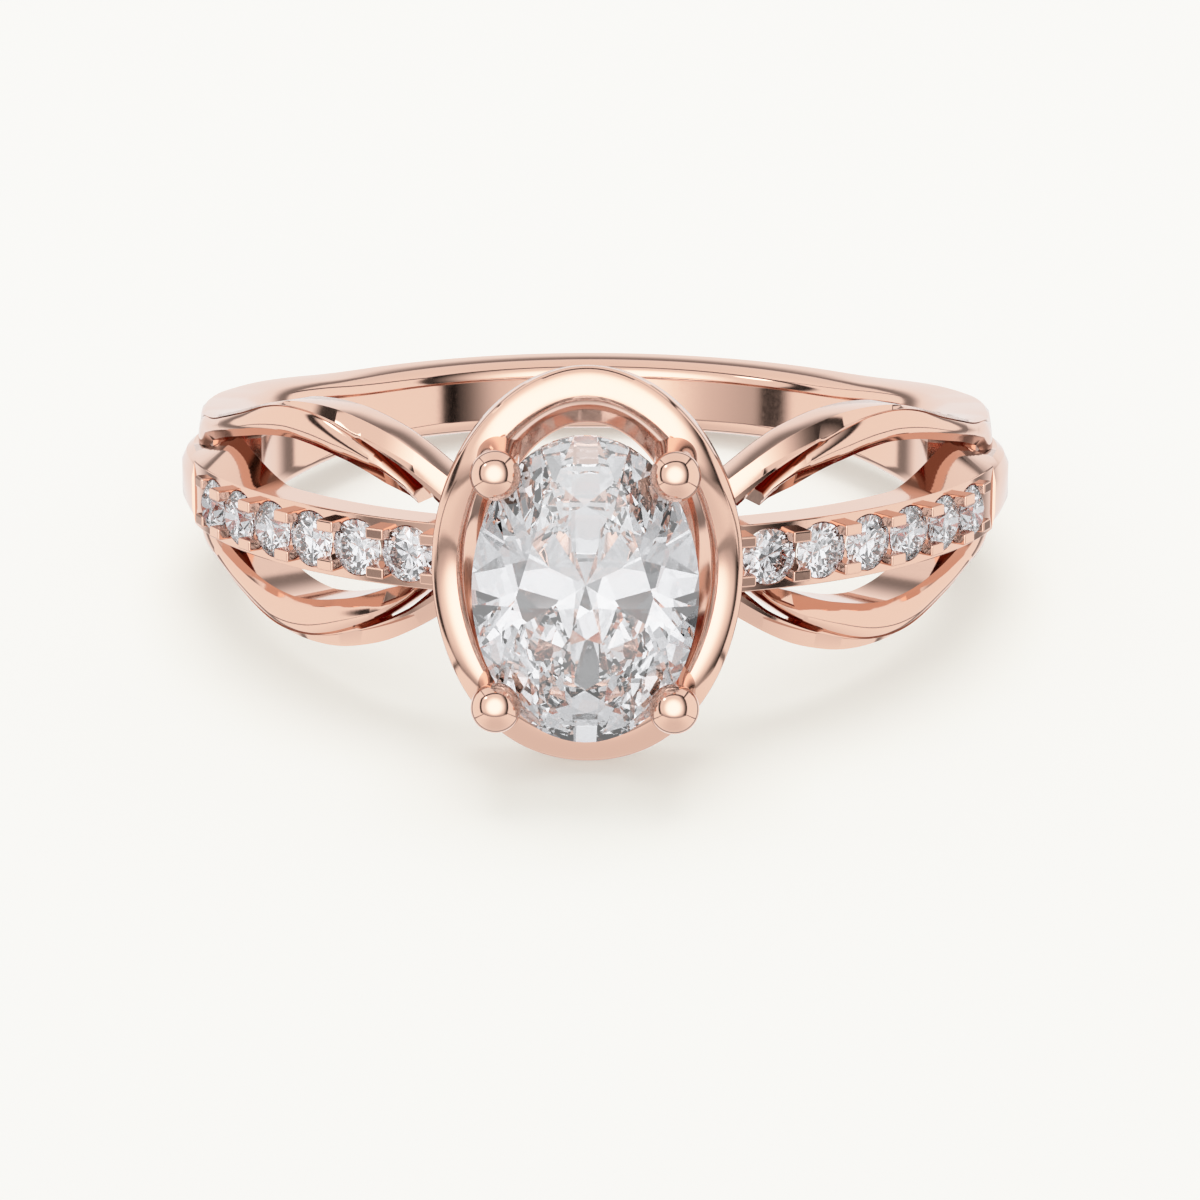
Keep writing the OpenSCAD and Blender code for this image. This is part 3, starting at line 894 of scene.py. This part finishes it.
# %% Side panels and seams
# A seam is given by the angle it runs at, seen from the front, and its width
SEAM_SHADE = 0.05
SEAMS = ((-25, 0.022), (207, 0.022), (132, 0.022), (50, 0.05))
LAMP_WAY = (-0.643, 0.661, 0.387)
side_light = step(maths("ABSOLUTE", x_way, 0), 0.2, 0.8, 0.92, 1.05)
sides = maths("MULTIPLY", side_light, step(y_way, -1.0, -0.5, 0.86, 1.0))
off_bottom = maths("SUBTRACT", least([deep_left, deep_right, deep_top]), deep_bottom)
low_gap = step(off_bottom, 0.0, 0.3, 0.03, 0.35)
past_gap = step(inside, -1.3, -0.7, 1.0, 0.0)
sides = choose(past_gap, low_gap, sides)


def seam(turn, width):
    """Dark where the ray lies close to a seam that runs back from the front panel."""
    c, s = math.cos(math.radians(turn)), math.sin(math.radians(turn))
    off = step(maths("ABSOLUTE", along((-s, c, 0)), 0), 0.3 * width, 1.3 * width)
    return maths("MAXIMUM", off, step(along((c, s, 0)), 0.0, 0.05, 1.0, 0.0))


for turn, width in SEAMS:
    between = maths("MULTIPLY", seam(turn, width), 1 - SEAM_SHADE)
    sides = maths("MULTIPLY", sides, maths("ADD", between, SEAM_SHADE))
rim = choose(front, sides, panel)
back_light = step(z_way, -0.85, -0.72, 1.0, 0.22)
tent_light = choose(step(z_way, -0.680, -0.640), back_light, rim)
lamp = step(along(LAMP_WAY), 0.9945, 0.9965, 0.0, 2.2)
print("seams:", len(SEAMS))

# %% [markdown]
# ## Light that has been turned round
#
# Two things that a tent alone doesn't give are added to it. In a narrow hollow light goes from gold to
# gold many times and gets redder each time, but the hollows of the real ring look dark brown, not red. So
# light that metal alone has turned round more than twice gets dimmer. And a cut stone gets its dark facets
# from the camera, which stands in front of it and blocks the light. So the rays that come out of a stone
# meet a dark spot in the direction the photograph was taken from.

# %% World
path = add(tent, "ShaderNodeLightPath")
through_stone = maths("GREATER_THAN", path.outputs["Transmission Depth"], 0.5)
kept = maths("MAXIMUM", step(path.outputs["Ray Depth"], 2.0, 4.5, 1.0, 0.1), through_stone)
dark_spot = maths("MULTIPLY", through_stone, step(z_way, 0.955, 0.96, 0.0, 0.94))
seen = maths("MULTIPLY", maths("ADD", tent_light, lamp), kept)
total = maths("MULTIPLY", seen, maths("SUBTRACT", 1.0, dark_spot))
glow = add(tent, "ShaderNodeBackground", {"Color": linear("#FFFFFF")}, {"Strength": total})
add(tent, "ShaderNodeOutputWorld", None, {"Surface": glow.outputs["Background"]})
print("tent nodes:", len(tent.nodes))

# %% [markdown]
# ## Table top
#
# The ring lies on a plain white sheet on a light table, which glows a little from below. That glow is why
# the photo's shadows are so pale and neutral: about a third of the sheet's brightness is its own and two
# thirds are light that the ring can take away. Reflections shouldn't see the sheet, because in the studio
# the lower panel of the tent lies there, so it only shows to the camera and catches light and shade.

# %% Floor
FLOOR_HALF = 1.2


def matt_sheet():
    """Matt white paper that a lamp below the table shines through."""
    paper, tree = new_material("white_sheet")
    shade = add(tree, "ShaderNodeBsdfPrincipled",
                {"Base Color": linear("#CECCC5"), "Roughness": 0.9, "Specular IOR Level": 0.0,
                 "Emission Color": linear("#F1EFE7"), "Emission Strength": 0.44})
    add(tree, "ShaderNodeOutputMaterial", None, {"Surface": shade.outputs["BSDF"]})
    return paper


ground = bmesh.new()
bmesh.ops.create_grid(ground, x_segments=1, y_segments=1, size=FLOOR_HALF)
floor_mesh = bpy.data.meshes.new("white_sheet")
ground.to_mesh(floor_mesh)
ground.free()
floor_mesh.materials.append(matt_sheet())
floor = bpy.data.objects.new("white_sheet", floor_mesh)
bpy.context.scene.collection.objects.link(floor)
floor.visible_glossy = False
floor.visible_transmission = False
print("sheet is", 2 * FLOOR_HALF, "m wide")

# %% [markdown]
# ## Soft box
#
# A round soft box hangs over the ring, a little behind it, and gives the sheet its one soft direction of
# shade. The tent's own top panel is what the metal mirrors there, so reflections don't see the soft box.

# %% Overhead soft box
box_light = bpy.data.lights.new("overhead soft box", "AREA")
box_light.shape = "DISK"
box_light.size = 0.12
box_light.energy = 0.14
soft_box = bpy.data.objects.new("overhead soft box", box_light)
soft_box.location = (0, 0.03, 0.16)
soft_box.rotation_euler = (math.radians(-10), 0, 0)
soft_box.visible_glossy = False
soft_box.visible_transmission = False
bpy.context.scene.collection.objects.link(soft_box)
print("soft box hangs", round(1000 * soft_box.location.z), "mm over the sheet")

# %% [markdown]
# ## Enough bounces for the stones
#
# A brilliant sends most light back because its inner faces act as mirrors, and one ray may turn round
# inside it ten times before it leaves. Cycles counts each of these turns as a glossy bounce and stops
# after four, which leaves whole facets black. Raising the three counts is the plain cure, and only the
# stones cost more time.

# %% Bounces for the stones
paths = bpy.context.scene.cycles
paths.glossy_bounces = 14
paths.transmission_bounces = 14
paths.max_bounces = 20
print("bounces inside a stone:", paths.glossy_bounces)

# %% [markdown]
# ## Film
#
# A product photograph is developed with soft highlights, so that polished metal keeps its tint where it
# is brightest. A curve with a gentle shoulder does that over the plain Standard view. Its points pair a
# linear brightness with the share of full white that it is shown at.

# %% Film curve
view = bpy.context.scene.view_settings
view.view_transform = "Standard"
view.use_curve_mapping = True
film = view.curve_mapping
BRIGHTEST = 2
film.white_level = (BRIGHTEST, BRIGHTEST, BRIGHTEST)
film.extend = "HORIZONTAL"
shoulder = film.curves[3]
for light, shown in ((0.50, 0.50), (0.79, 0.73), (1.0, 0.85), (1.2, 0.925), (1.5, 0.975)):
    shoulder.points.new(light / BRIGHTEST, shown)
film.update()
print("points of the film curve:", len(shoulder.points))
